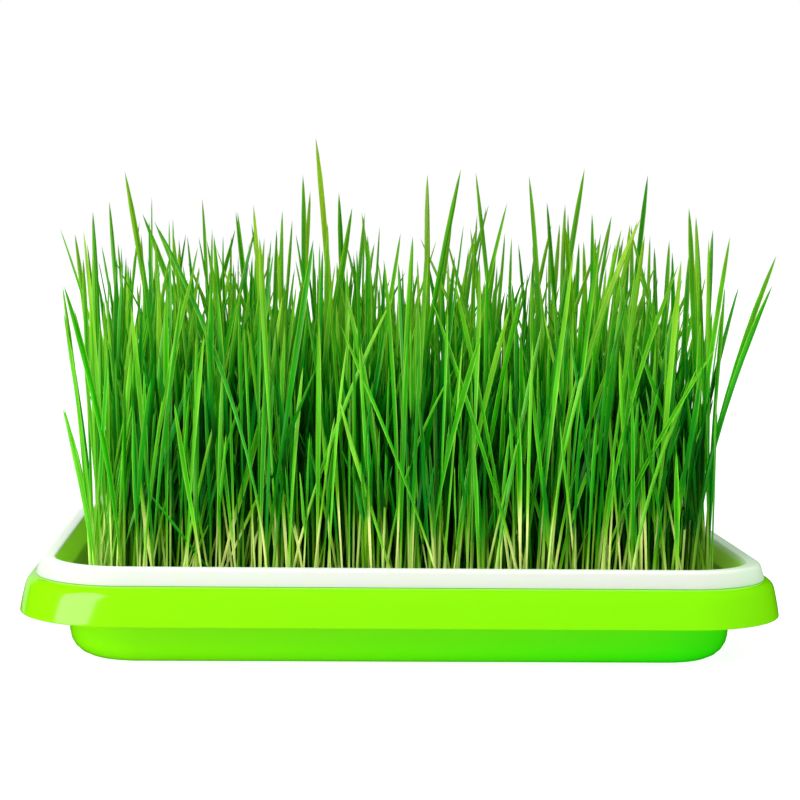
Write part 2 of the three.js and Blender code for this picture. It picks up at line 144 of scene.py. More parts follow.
# Leaves that stand apart from the rest, by points along them in columns and rows of the camera's frame
TRACED_LEAVES = (  # depth, width, warmth, and points from the tip down
    (-99, 2.0, 0.45, ((158, 228), (188, 285), (209, 340), (223, 373), (239, 422), (247, 460))),
    (-95, 1.5, 0.85, ((229, 371), (213, 430), (200, 483), (185, 560))),
    (-92, 1.5, 0.75, ((246, 320), (256, 389), (264, 456), (276, 560))),
    (-99, 2.4, 0.7, ((204, 333), (199, 380), (195, 422), (190, 500))),
    (-95, 2.7, 0.7, ((270, 325), (267, 380), (262, 439), (262, 520))),
    (-92, 2.0, 0.7, ((396, 295), (374, 335), (361, 356), (345, 416), (312, 500), (293, 560))),
    (-99, 2.2, 0.45, ((340, 323), (361, 378), (393, 442), (416, 500), (432, 560))),
    (-95, 2.7, 0.95, ((341, 399), (358, 460), (371, 500), (388, 560))),
    (-92, 2.7, 0.75, ((399, 262), (403, 340), (406, 422), (408, 500))),
    (-99, 2.0, 0.4, ((431, 298), (459, 381), (477, 431), (492, 472), (510, 540))),
    (-95, 2.0, 0.45, ((455, 278), (476, 373), (488, 430), (500, 500))),
    (-92, 2.4, 0.8, ((511, 306), (491, 376), (479, 439), (467, 500), (458, 560))),
    (-99, 2.0, 0.85, ((545, 321), (527, 399), (512, 467), (506, 500), (497, 560))),
    (-95, 1.4, 0.8, ((463, 338), (456, 420), (449, 500), (445, 560))),
    (-92, 1.7, 0.6, ((453, 369), (424, 427), (408, 470))),
    (-99, 3.0, 0.75, ((640, 218), (608, 298), (583, 373), (571, 422), (556, 500), (549, 560))),
    (-95, 1.7, 0.5, ((616, 350), (590, 422), (575, 470), (562, 530))),
    (-92, 1.7, 0.85, ((608, 424), (591, 460), (578, 500), (562, 555))),
    (-99, 1.7, 0.9, ((698, 368), (682, 401), (662, 454), (642, 520))),
    (-95, 2.0, 0.3, ((636, 333), (654, 369), (666, 406), (689, 464), (700, 500))),
    (-92, 2.5, 0.65, ((644, 236), (633, 323), (621, 389), (606, 500), (601, 560))),
    (-99, 2.0, 0.5, ((682, 265), (654, 320), (640, 360), (628, 430))),
    (-95, 2.0, 0.6, ((196, 262), (176, 340), (165, 400), (150, 500))),
    (-92, 1.7, 0.95, ((108, 378), (99, 440), (92, 500))),
)
CREST_LEAVES = (  # row of bunches, tip, slope under it, bow, curve and width of those above the sward
    (5, (173, 217), 0.02, 1.4, 1.3, 1.8),
    (8, (187, 235), 0.12, 1.5, 1.4, 1.8),
    (4, (213, 229.5), -0.02, 1.4, 1.3, 2.0),
    (7, (206, 240.5), 0.18, 1.5, 1.4, 1.8),
    (10, (293, 219), -0.07, 1.5, 1.3, 1.8),
    (9, (361, 212), 0.17, 1.6, 1.4, 2.0),
    (8, (505, 232), -0.1, 1.5, 1.3, 1.8),
    (10, (550, 224.5), -0.2, 1.5, 1.5, 2.0),
    (9, (650, 236), 0.0, 1.4, 1.3, 1.8),
    (3, (722, 310), -0.13, 1.6, 1.4, 1.7),
)
OUTER_LEAVES = (  # foot x and y, tip, its depth, curve, width and warmth of the outermost ones
    (-139, -70, (63, 285), -70, 1.6, 1.8, 0.6),
    (-136, -90, (65, 313), -91, 1.6, 1.7, 0.6),
    (-138, -88, (70, 345), -91, 1.6, 1.7, 0.5),
    (-134, -91, (63, 408), -91, 1.4, 1.8, 0.6),
    (128, -84, (771, 255), -78, 1.7, 2.7, 0.5),
)
CREST_WARMTH = 0.5
CURVES = np.arange(1.0, 2.01, 0.1)  # those tried along a traced leaf
CLOSER = 0.05  # how much nearer the points a stronger curve has to come
FOOT_RANGE = (-138, 137)  # a traced foot beyond it moves onto the mat's rounded corner
CORNER_FOOT_Y = -88

# Leaves placed by foot x and y, tip x and z, curve, width and warmth
FALLEN_LEAF = (-71, -98, -114, 76, 1.0, 2.0, 0.3)
END_LEAVES = (  # upright ones that close the sward's ends
    (-138, -80, -143, 176, 1.3, 2.3, 0.6),
    (-135, -86, -139, 158, 1.4, 2.1, 0.7),
    (-136, -66, -140, 184, 1.3, 2.4, 0.45),
    (-133, -88, -142, 130, 1.5, 2.1, 0.8),
    (-134, -60, -137, 150, 1.2, 2.0, 0.6),
    (-130, -84, -133, 146, 1.3, 2.2, 0.75),
    (-137, -89, -151, 110, 1.9, 3.0, 0.62),
    (-127, -90, -121, 138, 1.4, 2.2, 0.7),
    (137, -84, 133, 189, 1.2, 2.4, 0.6),
    (139, -80, 128, 199, 1.3, 2.6, 0.55),
    (137, -76, 143, 168, 1.5, 1.9, 0.5),
    (137, -82, 139, 112, 1.3, 1.6, 0.5),
    (133, -86, 125, 120, 1.4, 2.4, 0.4),
    (134, -78, 130, 176, 1.3, 2.2, 0.5),
)

# ----------------------------------------------------------------------------------------------------
# Camera
# ----------------------------------------------------------------------------------------------------

CAMERA_PLACE = Vector((-0.0561, -0.9666, 0.1813))
CAMERA_YAW = math.radians(3.44)
CAMERA_PITCH = math.radians(4.26)
CAMERA_ROLL = math.radians(0.93)
CAMERA_LENS = 90.1
SENSOR = 36.0
FRAME = 800  # side of the square frame, in pixels


def camera_turn():
    turn = Matrix.Rotation(-CAMERA_YAW, 4, "Z")
    tilt = Matrix.Rotation(math.pi / 2 - CAMERA_PITCH, 4, "X")
    roll = Matrix.Rotation(CAMERA_ROLL, 4, "Z")
    return turn @ tilt @ roll


def add_camera():
    data = bpy.data.cameras.new("camera")
    data.sensor_width = SENSOR
    data.lens = CAMERA_LENS
    data.clip_end = 50.0
    camera = bpy.data.objects.new("camera", data)
    scene.collection.objects.link(camera)
    camera.matrix_world = Matrix.Translation(CAMERA_PLACE) @ camera_turn()
    scene.camera = camera


def on_plane(pixel, y):
    """Where the camera's ray through a pixel meets the upright plane at depth y: x and z."""
    column, row = pixel
    turn = np.array(camera_turn().to_3x3(), float)
    ray = turn @ (column - FRAME / 2, FRAME / 2 - row, -FRAME * CAMERA_LENS / SENSOR)
    place = np.array(CAMERA_PLACE, float) / MM
    x, _, z = place + ray * (y - place[1]) / ray[1]
    return float(x), float(z)


# ----------------------------------------------------------------------------------------------------
# Material helpers
# ----------------------------------------------------------------------------------------------------


def new_material(name):
    material = bpy.data.materials.new(name)
    material.use_nodes = True
    nodes = material.node_tree.nodes
    nodes.clear()
    return material, nodes, material.node_tree.links


def add_node(nodes, kind, **settings):
    node = nodes.new(kind)
    for key, value in settings.items():
        if hasattr(node, key):
            setattr(node, key, value)
        else:
            node.inputs[key.replace("_", " ")].default_value = value
    return node


def noise(nodes, links, scale, detail=3.0, stretch=(1, 1, 1)):
    place = add_node(nodes, "ShaderNodeTexCoord")
    mapping = add_node(nodes, "ShaderNodeMapping", Scale=stretch)
    texture = add_node(nodes, "ShaderNodeTexNoise", Scale=scale, Detail=detail)
    links.new(place.outputs["Object"], mapping.inputs["Vector"])
    links.new(mapping.outputs["Vector"], texture.inputs["Vector"])
    return texture.outputs["Fac"]


def ramp(nodes, links, source, stops):
    node = add_node(nodes, "ShaderNodeValToRGB")
    elements = node.color_ramp.elements
    while len(elements) < len(stops):
        elements.new(0.5)
    for element, (place, colour) in zip(elements, stops):
        element.position = place
        element.color = (*colour, 1.0)
    links.new(source, node.inputs["Fac"])
    return node.outputs["Color"]


def mix(nodes, links, share, a, b, blend="MIX"):
    node = add_node(nodes, "ShaderNodeMix", data_type="RGBA", blend_type=blend)
    for socket, value in ((node.inputs[0], share), (node.inputs[6], a), (node.inputs[7], b)):
        if isinstance(value, bpy.types.NodeSocket):
            links.new(value, socket)
        elif isinstance(value, (int, float)):
            socket.default_value = value
        else:
            socket.default_value = (*value, 1.0)
    return node.outputs[2]


def bump(nodes, links, height, strength, distance):
    node = add_node(nodes, "ShaderNodeBump", Strength=strength, Distance=distance)
    links.new(height, node.inputs["Height"])
    return node.outputs["Normal"]


def set_surface(nodes, links, shader):
    output = add_node(nodes, "ShaderNodeOutputMaterial")
    links.new(shader.outputs[0], output.inputs["Surface"])


def share_between(nodes, links, axis, start, end):
    """0 to 1 between two places along an axis, in millimetres."""
    place = add_node(nodes, "ShaderNodeTexCoord")
    split = add_node(nodes, "ShaderNodeSeparateXYZ")
    links.new(place.outputs["Object"], split.inputs["Vector"])
    share = add_node(nodes, "ShaderNodeMapRange", From_Min=start * MM, From_Max=end * MM)
    links.new(split.outputs[axis], share.inputs["Value"])
    return share.outputs["Result"]


# ----------------------------------------------------------------------------------------------------
# Materials
# ----------------------------------------------------------------------------------------------------


def green_plastic():
    """Glossy plastic with painted light and shade: yellower to the left, where the key light falls, and
    deeper green to the right; the bowl deepens from the skirt downwards, as painted shade.
    """
    material, nodes, links = new_material("green_plastic")
    surface = add_node(
        nodes, "ShaderNodeBsdfPrincipled", Roughness=0.13, Subsurface_Weight=0.1, Subsurface_Scale=0.004,
        Subsurface_Radius=(1.0, 1.0, 0.2),
    )
    painted_light_and_shade = add_node(nodes, "ShaderNodeAttribute", attribute_name="painted_light_and_shade").outputs["Fac"]
    # Painted light and shade: each ramp runs from yellower on the left, where the key light falls, to deeper
    # green on the right; foot and top are the bowl's outside at its foot and its top, the foot darker as
    # painted shade.
    across = share_between(nodes, links, "X", -TRAY_HALF[0], TRAY_HALF[0])
    foot = ramp(nodes, links, across, ((0.1, (0.165, 0.66, 0.0)), (0.85, (0.005, 0.64, 0.0))))
    top = ramp(
        nodes, links, across, ((0.1, (0.26, 0.82, 0.0)), (0.8, (0.13, 0.8, 0.0)), (0.93, (0.05, 0.75, 0.0)))
    )
    skirt = ramp(nodes, links, across, ((0.0, (0.21, 0.6, 0.0)), (1.0, (0.18, 0.67, 0.0))))
    # the bowl's outside below BOWL_TOP_TONE takes the painted shade colours, the skirt its own
    up = ramp(nodes, links, painted_light_and_shade, ((0.0, (0, 0, 0)), (BOWL_TOP_TONE, (1, 1, 1))))
    past = ramp(nodes, links, painted_light_and_shade, ((BOWL_TOP_TONE, (0, 0, 0)), (SKIRT_TONE, (1, 1, 1))))
    links.new(mix(nodes, links, past, mix(nodes, links, up, foot, top), skirt), surface.inputs["Base Color"])
    fine = noise(nodes, links, 900.0, 2.0)
    links.new(bump(nodes, links, fine, 0.03, 0.0002), surface.inputs["Normal"])
    set_surface(nodes, links, surface)
    return material


def white_plastic():
    """Thin white plastic with painted light and shade: the rim's top lighter as a painted highlight, and
    painted green shade inside, at once on the shaded left and more slowly on the lit right.
    """
    material, nodes, links = new_material("white_plastic")
    surface = add_node(
        nodes, "ShaderNodeBsdfPrincipled", Roughness=0.3, Specular_IOR_Level=0.12, Subsurface_Weight=0.15,
        Subsurface_Scale=0.003,
    )
    painted_light_and_shade = add_node(nodes, "ShaderNodeAttribute", attribute_name="painted_light_and_shade").outputs["Fac"]
    # Painted light and shade: the rim's front, its top lighter as a painted highlight, and below it painted
    # green shade inside, quick in the shaded ramp and slow in the lit one.
    rim = ((0.0, (0.555, 0.58, 0.535)), (RIM_TOP_HIGHLIGHT, (0.85, 0.9, 0.83)))
    shaded_stops = (*rim, (0.115, (0.5, 0.66, 0.4)), (0.145, (0.29, 0.82, 0.0)), (1.0, (0.27, 0.86, 0.0)))
    lit_stops = (
        (RIM_TOP_HIGHLIGHT, (0.58, 0.76, 0.56)), (0.13, (0.58, 0.8, 0.5)),
        (0.24, (0.3, 0.6, 0.06)), (1.0, (0.22, 0.62, 0.01)),
    )
    shaded, lit = (ramp(nodes, links, painted_light_and_shade, stops) for stops in (shaded_stops, lit_stops))
    # the lit ramp on the right end, where the light from the left falls on the inside
    across = share_between(nodes, links, "X", -TRAY_HALF[0], TRAY_HALF[0])
    side = ramp(nodes, links, across, ((0.87, (0, 0, 0)), (0.97, (1, 1, 1))))
    tint = mix(nodes, links, side, shaded, lit)
    streak = noise(nodes, links, 160.0, 2.0, (1, 1, 0.1))
    some = ramp(nodes, links, streak, ((0.4, (0, 0, 0)), (0.7, (0.1, 0.1, 0.1))))
    links.new(mix(nodes, links, some, tint, (0.5, 0.72, 0.2)), surface.inputs["Base Color"])
    fine = noise(nodes, links, 700.0, 2.0)
    links.new(bump(nodes, links, fine, 0.04, 0.0002), surface.inputs["Normal"])
    set_surface(nodes, links, surface)
    return material


def water_material():
    material, nodes, links = new_material("water")
    surface = add_node(
        nodes, "ShaderNodeBsdfPrincipled", Roughness=0.03, IOR=1.33, Transmission_Weight=0.9
    )
    ripple = noise(nodes, links, 40.0, 1.0)
    tint = ramp(nodes, links, ripple, ((0.3, (0.8, 0.92, 0.84)), (0.7, (0.88, 0.96, 0.9))))
    links.new(tint, surface.inputs["Base Color"])
    links.new(bump(nodes, links, ripple, 0.1, 0.001), surface.inputs["Normal"])
    set_surface(nodes, links, surface)
    return material


def mat_material():
    material, nodes, links = new_material("roots_and_husks")
    surface = add_node(nodes, "ShaderNodeBsdfPrincipled", Roughness=0.8)
    threads = noise(nodes, links, 260.0, 6.0, (1, 1, 2.5))
    stops = ((0.3, (0.07, 0.045, 0.015)), (0.5, (0.3, 0.2, 0.08)), (0.68, (0.62, 0.52, 0.33)))
    tint = ramp(nodes, links, threads, stops)
    links.new(tint, surface.inputs["Base Color"])
    links.new(bump(nodes, links, threads, 0.8, 0.0015), surface.inputs["Normal"])
    set_surface(nodes, links, surface)
    return material


def grain_material():
    material, nodes, links = new_material("wheat_grain")
    surface = add_node(nodes, "ShaderNodeBsdfPrincipled", Roughness=0.55)
    husk = noise(nodes, links, 420.0, 4.0, (1, 1, 0.4))
    stops = ((0.32, (0.16, 0.085, 0.025)), (0.55, (0.45, 0.28, 0.1)), (0.75, (0.68, 0.5, 0.25)))
    tint = ramp(nodes, links, husk, stops)
    links.new(tint, surface.inputs["Base Color"])
    links.new(bump(nodes, links, husk, 0.4, 0.0005), surface.inputs["Normal"])
    set_surface(nodes, links, surface)
    return material


def thread_material():
    material, nodes, links = new_material("root_thread")
    surface = add_node(nodes, "ShaderNodeBsdfPrincipled", Roughness=0.5)
    stain = noise(nodes, links, 150.0, 3.0)
    tint = ramp(nodes, links, stain, ((0.35, (0.35, 0.26, 0.12)), (0.6, (0.72, 0.66, 0.5))))
    links.new(tint, surface.inputs["Base Color"])
    set_surface(nodes, links, surface)
    return material


def leaf_material():
    """Leaf colours by what is painted on each leaf: warmth, which also carries painted shade and light,
    paleness near its root, coolness, and margins that take a painted highlight.
    """
    material, nodes, links = new_material("wheat_leaf")
    paint = add_node(nodes, "ShaderNodeAttribute", attribute_name="paint")
    split = add_node(nodes, "ShaderNodeSeparateColor")
    links.new(paint.outputs["Color"], split.inputs["Color"])
    warmth, pale, cold = (split.outputs[i] for i in range(3))
    # warmth runs from dark to light yellow-green, so the painted shade and light in it darken and lighten the
    # leaf
    green = ramp(
        nodes,
        links,
        warmth,
        (
            (0.0, (0.001, 0.1, 0.0)),
            (0.25, (0.003, 0.33, 0.0)),
            (0.5, (0.034, 0.53, 0.001)),
            (0.75, (0.145, 0.67, 0.015)),
            (1.0, (0.33, 0.82, 0.045)),
        ),
    )
    cool = mix(nodes, links, cold, green, (0.01, 0.45, 0.03))
    # Painted highlight: a pale yellow-green line along the margins, only where the warmth is high, not in the
    # painted shade.
    margin = ramp(nodes, links, paint.outputs["Alpha"], ((0.6, (0.0, 0.0, 0.0)), (1.0, (0.8, 0.8, 0.8))))
    lit = ramp(nodes, links, warmth, ((0.2, (0.0, 0.0, 0.0)), (0.5, (1.0, 1.0, 1.0))))
    thin = mix(nodes, links, 1.0, margin, lit, "MULTIPLY")
    margin_highlighted = mix(nodes, links, thin, cool, (0.46, 0.92, 0.09))
    foot_stops = ((0.0, (0.24, 0.76, 0.0)), (0.5, (0.5, 0.88, 0.04)), (0.9, (0.97, 1.0, 0.37)))
    foot = ramp(nodes, links, pale, foot_stops)
    root = mix(nodes, links, pale, margin_highlighted, foot)
    streak = noise(nodes, links, 420.0, 3.0, (1, 1, 0.06))
    shade = ramp(nodes, links, streak, ((0.3, (0.78, 0.8, 0.75)), (0.7, (1.12, 1.1, 1.1))))
    veined = mix(nodes, links, 1.0, root, shade, "MULTIPLY")
    upper = share_between(nodes, links, "Z", *OLIVE_HEIGHTS)
    colour = mix(nodes, links, upper, veined, (0.82, 0.63, 0.21), "MULTIPLY")

    surface = add_node(nodes, "ShaderNodeBsdfPrincipled", Roughness=0.3, Specular_IOR_Level=0.25)
    links.new(colour, surface.inputs["Base Color"])
    links.new(bump(nodes, links, streak, 0.25, 0.0003), surface.inputs["Normal"])
    through = add_node(nodes, "ShaderNodeBsdfTranslucent")
    glow = mix(nodes, links, 1.0, colour, (0.9, 1.1, 0.2), "MULTIPLY")
    links.new(glow, through.inputs["Color"])
    both = add_node(nodes, "ShaderNodeMixShader", Fac=0.35)
    links.new(surface.outputs[0], both.inputs[1])
    links.new(through.outputs[0], both.inputs[2])
    set_surface(nodes, links, both)
    return material


def floor_material():
    material, nodes, links = new_material("studio_floor")
    surface = add_node(
        nodes, "ShaderNodeBsdfPrincipled", Roughness=0.9, Specular_IOR_Level=0.1, Emission_Strength=0.88,
        Base_Color=(0.35, 0.35, 0.35, 1.0), Emission_Color=(1.0, 1.0, 1.0, 1.0),
    )
    set_surface(nodes, links, surface)
    return material


# ----------------------------------------------------------------------------------------------------
# Mesh helpers
# ----------------------------------------------------------------------------------------------------


def finished(name, bm, material, replaced=()):
    """A piece from a bmesh in millimetres."""
    bmesh.ops.scale(bm, vec=(MM, MM, MM), verts=bm.verts)
    mesh = bpy.data.meshes.new(name)
    bm.to_mesh(mesh)
    bm.free()
    return piece_of(name, mesh, material, replaced)


def filleted(corners, steps=5):
    """Section points from corners (inset, z, fillet radius, plan corner): each corner as an arc."""
    points = []
    for i, (inset, z, radius, plan) in enumerate(corners):
        here = Vector((inset, z))
        if radius == 0 or i in (0, len(corners) - 1):
            points.append((inset, z, plan))
            continue
        to_last = (Vector(corners[i - 1][:2]) - here).normalized()
        to_next = (Vector(corners[i + 1][:2]) - here).normalized()
        half_angle = to_last.angle(to_next) / 2
        back = radius / math.tan(half_angle)
        centre = here + (to_last + to_next).normalized() * (radius / math.sin(half_angle))
        start = here + to_last * back - centre
        end = here + to_next * back - centre
        sweep = start.angle_signed(end)
        for step in range(steps + 1):
            spoke = start.copy()
            spoke.rotate(Matrix.Rotation(-sweep * step / steps, 2))
            points.append((centre.x + spoke.x, centre.y + spoke.y, plan))
    return points


def ring_loop(bm, inset, z, plan):
    """A rounded rectangle of edges, at an inset from the skirt's lower edge."""
    radius = plan - inset
    made = bmesh.ops.create_circle(bm, cap_ends=False, segments=4 * (CORNER_STEPS + 1), radius=radius)
    verts = made["verts"]
    for i, vert in enumerate(verts):
        quarter, step = divmod(i, CORNER_STEPS + 1)
        angle = (quarter + step / CORNER_STEPS) * math.pi / 2
        side_x = 1 if quarter in (0, 3) else -1
        side_y = 1 if quarter < 2 else -1
        vert.co = (
            side_x * (TRAY_HALF[0] - inset - radius) + radius * math.cos(angle),
            side_y * (TRAY_HALF[1] - inset - radius) + radius * math.sin(angle),
            z,
        )
    return list(dict.fromkeys(edge for vert in verts for edge in vert.link_edges)), verts


def ring_shell(section, closed=False, painted=None):
    """A shell from section points (inset, z, plan corner), capped at its first and last ring."""
    bm = bmesh.new()
    layer = bm.verts.layers.float.new("painted_light_and_shade")
    loops = []
    for i, (inset, z, plan) in enumerate(section):
        edges, verts = ring_loop(bm, inset, z, plan)
        loops.append(edges)
        for vert in verts:
            vert[layer] = painted(inset, z, i / (len(section) - 1)) if painted else 0.0
    for low, high in zip(loops, loops[1:]):
        bmesh.ops.bridge_loops(bm, edges=low + high)
    if closed:
        bmesh.ops.bridge_loops(bm, edges=loops[-1] + loops[0])
    else:
        bmesh.ops.contextual_create(bm, geom=loops[0])
        bmesh.ops.contextual_create(bm, geom=loops[-1])
    bmesh.ops.recalc_face_normals(bm, faces=bm.faces)
    for face in bm.faces:
        face.smooth = len(face.verts) == 4
    return bm


# ----------------------------------------------------------------------------------------------------
# Tray, basket and mat
# ----------------------------------------------------------------------------------------------------


def tray_painted_shade(inset, z, along):
    """Painted shade on the bowl: 0 at the foot of its outside, rising to its top, and one value elsewhere."""
    if along < 0.5 and inset > BOWL_INSET:
        return BOWL_TOP_TONE * min(z / SKIRT_BOTTOM, 1.0)
    return SKIRT_TONE


def add_water_tray(material):
    bowl, rim = BOWL_CORNER, RIM_CORNER
    section = filleted(
        (
            (50.0, 0.0, 0.0, bowl),
            (22.3, 0.0, 11.2, bowl),
            (20.5, SKIRT_BOTTOM, 4.0, bowl),
            (16.5, 35.3, 2.0, bowl),
            (4.9, 35.3, 3.0, rim),
            (1.8, SKIRT_BOTTOM, 0.5, rim),
            (0.0, SKIRT_BOTTOM, 0.5, rim),
            (0.95, 26.5, 130.0, rim),
            (3.45, 37.1, 5.0, rim),
            (17.7, 37.1, 1.6, bowl),
            (22.3, SKIRT_BOTTOM, 4.0, bowl),
            (24.3, 1.8, 9.4, bowl),
            (50.0, 1.8, 0.0, bowl),
        )
    )
    bm = ring_shell(section, painted=tray_painted_shade)
    return finished("green_water_tray", bm, material, ["water_tray"])


def funnel_depth(inset, z, along):
    """0 on the rim's outside and the lip, the painted highlight's value on the rim's top, and up to 1 well
    down inside, for the painted green shade.
    """
    if along < LIP_END:
        return 0.0
    if inset < RIM_INNER_EDGE:
        return RIM_TOP_HIGHLIGHT * max((z - RIM_BEND) / (FUNNEL_TOP - RIM_BEND), 0.0)
    return RIM_TOP_HIGHLIGHT + (1 - RIM_TOP_HIGHLIGHT) * min(max((FUNNEL_TOP - z) / (FUNNEL_TOP - FUNNEL_DEEP), 0.0), 1.0)


def add_mesh_basket(material):
    bowl, rim = BOWL_CORNER, RIM_CORNER
    section = filleted(
        (
            (38.0, BASKET_FLOOR, 0.0, bowl),
            (24.0, BASKET_FLOOR, 3.0, bowl),
            (19.5, 36.0, 3.0, bowl),
            (14.3, 42.9, 0.6, rim),
            (10.0, 42.9, 0.8, rim),
            (8.5, 37.15, 0.2, rim),
            (7.0, 37.15, 0.2, rim),
            (9.0, FUNNEL_TOP, 2.6, rim),
            (15.0, FUNNEL_TOP, 1.2, rim),
            (20.8, 37.0, 4.0, bowl),
            (25.6, 14.1, 2.0, bowl),
            (38.0, 14.1, 0.0, bowl),
        )
    )
    bm = ring_shell(section, closed=True, painted=funnel_depth)
    add_slotted_floor(bm)
    return finished("white_mesh_basket", bm, material, ["mesh_basket"])


def slot_lines(count, pitch, opening):
    """Lines that bound the slots along one direction, from the border's inner edge to the other."""
    middles = [(place - (count - 1) / 2) * pitch for place in range(count)]
    edges = [middle + side * opening / 2 for middle in middles for side in (-1, 1)]
    return [-count * pitch / 2, *edges, count * pitch / 2]


def add_slotted_floor(bm):
    """The basket's floor inside its border: bars round rows of slots."""
    columns = slot_lines(SLOT_COLUMNS, 2 * FLOOR_HALF[0] / SLOT_COLUMNS, SLOT_LENGTH)
    rows = slot_lines(SLOT_ROWS, 2 * FLOOR_HALF[1] / SLOT_ROWS, SLOT_WIDTH)
    across, along = len(columns) - 1, len(rows) - 1
    grid = bmesh.ops.create_grid(bm, x_segments=across, y_segments=along, size=1.0)
    places = {}
    for vert in grid["verts"]:
        places[vert] = round((vert.co.x + 1) * across / 2), round((vert.co.y + 1) * along / 2)
    for vert, (column, row) in places.items():
        vert.co = (columns[column], rows[row], BASKET_FLOOR + BASKET_WALL)
    cells = list(dict.fromkeys(face for vert in grid["verts"] for face in vert.link_faces))
    slots = []
    for face in cells:
        column, row = (min(places[vert][axis] for vert in face.verts) for axis in range(2))
        if column % 2 == 1 and row % 2 == 1:
            slots.append(face)
    bars = [face for face in cells if face not in slots]
    bmesh.ops.delete(bm, geom=slots, context="FACES")
    bmesh.ops.solidify(bm, geom=bars, thickness=BASKET_WALL)


# ----------------------------------------------------------------------------------------------------
# Many copies of one small form
# ----------------------------------------------------------------------------------------------------


def copied(form, count):
    """A mesh of many copies of a small form, one after the other, to be shaped by set_points."""
    one = bpy.data.meshes.new("form")
    form.to_mesh(one)
    form.free()
    bm = bmesh.new()
    for _ in range(count):
        bm.from_mesh(one)
    mesh = bpy.data.meshes.new("copies")
    bm.to_mesh(mesh)
    bm.free()
    points = np.empty(3 * len(one.vertices))
    one.vertices.foreach_get("co", points)
    bpy.data.meshes.remove(one)
    return mesh, points.reshape(-1, 3)


def tube_form(sides, rows):
    """A straight tube of unit size, closed at its foot, and the verts of its last ring."""
    bm = bmesh.new()
    bmesh.ops.create_circle(bm, cap_ends=True, segments=sides, radius=1.0)
    ring, last_ring = bm.edges[:], bm.verts[:]
    for _ in range(rows):
        grown = bmesh.ops.extrude_edge_only(bm, edges=ring)["geom"]
        last_ring = [item for item in grown if isinstance(item, bmesh.types.BMVert)]
        bmesh.ops.translate(bm, vec=(0, 0, 1 / rows), verts=last_ring)
        ring = [edge for edge in bm.edges if all(vert in last_ring for vert in edge.verts)]
    for face in bm.faces:
        face.smooth = True
    return bm, last_ring


def set_points(mesh, points):
    mesh.vertices.foreach_set("co", np.ascontiguousarray(points * MM, dtype=np.float32).ravel())
    mesh.update()


def set_paint(mesh, channels):
    """Stores four values for each vertex as its colour attribute."""
    layer = mesh.attributes.new("paint", "FLOAT_COLOR", "POINT")
    layer.data.foreach_set("color", channels.astype(np.float32).ravel())


def piece_of(name, mesh, material, replaced=()):
    """A piece from a mesh in metres: it rides on the tray and takes its material."""
    mesh.name = name
    mesh.materials.append(material)
    piece = bpy.data.objects.new(name, mesh)
    scene.collection.objects.link(piece)
    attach(piece, "root")
    if replaced:
        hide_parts(*replaced)
    return piece


# ----------------------------------------------------------------------------------------------------
# Leaves
# ----------------------------------------------------------------------------------------------------


def leaf_form():
    """A straight four-cornered leaf of unit size, from its foot to a point."""
    bm, last_ring = tube_form(4, LEAF_ROWS)
    bmesh.ops.pointmerge(bm, verts=last_ring, merge_co=(0, 0, 1))
    bmesh.ops.recalc_face_normals(bm, faces=bm.faces)
    for edge in bm.edges:
        a, b = (vert.co for vert in edge.verts)
        edge.smooth = abs(a.z - b.z) < 1e-6
    return bm


class Leaves:
    """Arrays of leaf shapes, one value a leaf; each method returns values for every leaf and share."""

    FIELDS = ("x", "y", "z", "lean_x", "lean_y", "height", "curve", "stem", "width", "turn", "twist",
              "fold", "sway", "open", "warmth", "cool", "pale_top")

    def __init__(self, **values):
        for field in self.FIELDS:
            setattr(self, field, np.asarray(values[field], float))

    def __len__(self):
        return len(self.x)

    @property
    def depth(self):
        """How deep each leaf stands in the sward, for its painted shade: 0 at its edges, 1 well inside."""
        from_edge = np.minimum(SWARD_EDGE[0] - np.abs(self.x), SWARD_EDGE[1] - np.abs(self.y))
        return smooth(from_edge / SHADE_DEPTH)

    @property
    def sunned(self):
        """How much light from the left reaches each leaf, for its painted light: 1 at the sward's left edge,
        0 well inside.
        """
        return 1 - smooth((self.x + SWARD_EDGE[0]) / SUN_REACH)

    @classmethod
    def joined(cls, parts):
        return cls(**{f: np.concatenate([getattr(part, f) for part in parts]) for f in cls.FIELDS})

    def middle(self, t):
        """The leaf's middle line at shares t of its length."""
        bend = t ** self.curve[:, None]
        swing = self.sway[:, None] * np.sin(math.pi * t) * t
        x = self.x[:, None] + self.lean_x[:, None] * bend + swing * np.cos(3 * self.turn[:, None])
        y = self.y[:, None] + self.lean_y[:, None] * bend + swing * np.sin(3 * self.turn[:, None])
        z = self.z[:, None] + self.height[:, None] * t
        return np.stack([x, y, z], axis=-1)


def unit(vectors):
    return vectors / np.maximum(np.linalg.norm(vectors, axis=-1, keepdims=True), 1e-9)


def smooth(share):
    share = np.clip(share, 0, 1)
    return share * share * (3 - 2 * share)


def opening(t, leaves):
    """How far the rolled stem has opened into a blade at shares t: 0 to 1."""
    opened = leaves.open[:, None]
    return smooth((t - 0.8 * opened) / (1.2 * opened))


def leaf_places(form_points):
    """Share along the leaf, side from margin to margin and face of every point of the form."""
    side, face, height = (form_points[:, axis][None, :] for axis in range(3))
    return 1 - (1 - height) ** LEAF_CLOSER, side, face


